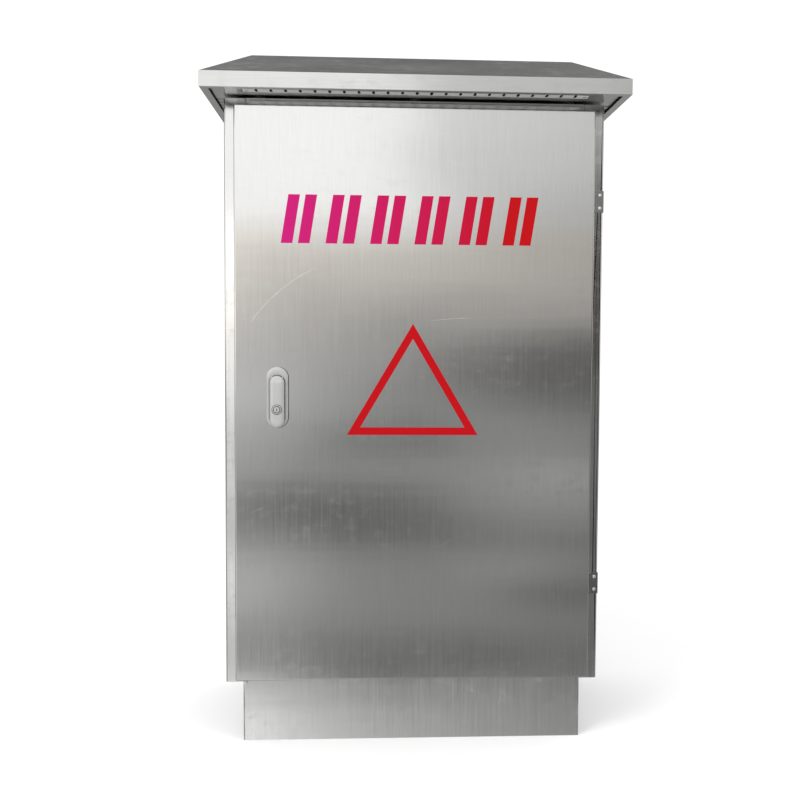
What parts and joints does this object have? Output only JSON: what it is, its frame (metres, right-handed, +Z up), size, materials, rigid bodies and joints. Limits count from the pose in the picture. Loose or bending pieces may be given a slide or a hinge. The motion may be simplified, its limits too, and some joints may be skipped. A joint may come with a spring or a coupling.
{
  "type": "traffic signal controller cabinet",
  "caption": "Free-standing stainless steel roadside cabinet with a recessed plinth, a hipped rain roof and one lockable door over the signal control gear.",
  "frame": {"origin": "centre of the four anchor holes, on the underside of the plinth", "axes": "+Z up, -Y out of the door, +X towards the hinges"},
  "size_m": [0.762, 0.499, 1.311],
  "materials": {
    "body_stainless": "brushed grain",
    "plinth_stainless": "brushed grain",
    "roof_stainless": "brushed grain",
    "door_stainless": "brushed grain",
    "galvanised": "galvanised spangle",
    "zinc_fixings": "zinc plated",
    "hinge_steel": "polished",
    "lock_satin": "satin",
    "black_rubber": "matt",
    "grey_plastic": "fine texture",
    "red_print": "screen print",
    "cream_plastic": "moulded",
    "black_plastic": "moulded",
    "supply_metal": "powder coat",
    "rack_metal": "powder coat",
    "card_panels": "satin",
    "copper": "bare"
  },
  "bodies": {
    "cabinet": {"plinth": "plinth_stainless", "plinth_bolts": "zinc_fixings", "body_shell": "body_stainless", "floor_plate": "body_stainless", "gland_plate": "galvanised", "cable_grommets": "black_rubber", "top_plate": "body_stainless", "roof_spacers": "galvanised", "roof_bolts": "zinc_fixings", "roof_canopy": "roof_stainless", "roof_soffit": "roof_stainless", "vent_strip": "roof_stainless", "vent_rivets": "roof_stainless", "upper_hinge_frame_leaf": "hinge_steel", "upper_hinge_pin": "zinc_fixings", "lower_hinge_frame_leaf": "hinge_steel", "lower_hinge_pin": "zinc_fixings", "frame_hinge_screws": "hinge_steel", "mounting_plate": "galvanised", "plate_studs": "galvanised", "plate_spacers": "galvanised", "plate_nuts": "zinc_fixings", "device_rail_upper": "galvanised", "device_rail_lower": "galvanised", "machine_screws": "zinc_fixings", "main_breaker": "cream_plastic", "branch_breakers": "cream_plastic", "surge_arrester": "grey_plastic", "power_supply": "supply_metal", "terminal_blocks": "cream_plastic", "earth_bar": "copper", "equipment_shelf": "galvanised", "controller_rack": "rack_metal", "processor_card": "card_panels", "driver_cards": "card_panels"},
    "door": {"door_panel": "door_stainless", "door_stiffeners": "galvanised", "door_gasket": "black_rubber", "document_pocket": "grey_plastic", "sign_bars": "red_print", "sign_triangle": "red_print", "upper_hinge_door_leaf": "hinge_steel", "lower_hinge_door_leaf": "hinge_steel", "door_hinge_screws": "hinge_steel", "lock_plate": "lock_satin", "lock_clamp": "galvanised"},
    "lock_rotor": {"lock_spindle": "zinc_fixings", "lock_cam": "zinc_fixings", "lock_cam_nut": "zinc_fixings"},
    "lock_lever": {"lock_handle": "lock_satin", "lock_handle_pin": "zinc_fixings"},
    "lock_release": {"lock_button": "lock_satin"},
    "main_switch": {"main_toggle": "black_plastic"},
    "branch_switch_1": {"branch_toggle_1": "black_plastic"},
    "branch_switch_2": {"branch_toggle_2": "black_plastic"},
    "branch_switch_3": {"branch_toggle_3": "black_plastic"},
    "left_key": {"key_left": "black_plastic"},
    "middle_key": {"key_middle": "black_plastic"},
    "right_key": {"key_right": "black_plastic"}
  },
  "joints": [
    {"name": "door_swing", "type": "hinge", "parent": "cabinet", "child": "door", "pos_m": [0.334, -0.1942, 0.6545], "axis": [0, 0, 1], "range_deg": [0, 100]},
    {"name": "lock_turn", "type": "hinge", "parent": "door", "child": "lock_rotor", "pos_m": [-0.252, -0.2, 0.6745], "axis": [0, 1, 0], "range_deg": [0, 90]},
    {"name": "lever_lift", "type": "hinge", "parent": "lock_rotor", "child": "lock_lever", "pos_m": [-0.252, -0.2185, 0.684], "axis": [-1, 0, 0], "range_deg": [0, 35]},
    {"name": "release_press", "type": "slide", "parent": "lock_lever", "child": "lock_release", "axis": [0, 1, 0], "range_m": [0, 0.002], "stiffness_N_per_m": 400, "springref_m": -0.0005},
    {"name": "main_switch_tilt", "type": "hinge", "parent": "cabinet", "child": "main_switch", "pos_m": [-0.22, 0.0855, 0.997], "axis": [1, 0, 0], "range_deg": [0, 44]},
    {"name": "branch_switch_1_tilt", "type": "hinge", "parent": "cabinet", "child": "branch_switch_1", "pos_m": [-0.187, 0.0855, 0.997], "axis": [1, 0, 0], "range_deg": [0, 44]},
    {"name": "branch_switch_2_tilt", "type": "hinge", "parent": "cabinet", "child": "branch_switch_2", "pos_m": [-0.1686, 0.0855, 0.997], "axis": [1, 0, 0], "range_deg": [0, 44]},
    {"name": "branch_switch_3_tilt", "type": "hinge", "parent": "cabinet", "child": "branch_switch_3", "pos_m": [-0.1502, 0.0855, 0.997], "axis": [1, 0, 0], "range_deg": [0, 44]},
    {"name": "left_key_press", "type": "slide", "parent": "cabinet", "child": "left_key", "axis": [0, 1, 0], "range_m": [0, 0.0015], "stiffness_N_per_m": 300, "springref_m": -0.0005},
    {"name": "middle_key_press", "type": "slide", "parent": "cabinet", "child": "middle_key", "axis": [0, 1, 0], "range_m": [0, 0.0015], "stiffness_N_per_m": 300, "springref_m": -0.0005},
    {"name": "right_key_press", "type": "slide", "parent": "cabinet", "child": "right_key", "axis": [0, 1, 0], "range_m": [0, 0.0015], "stiffness_N_per_m": 300, "springref_m": -0.0005}
  ]
}
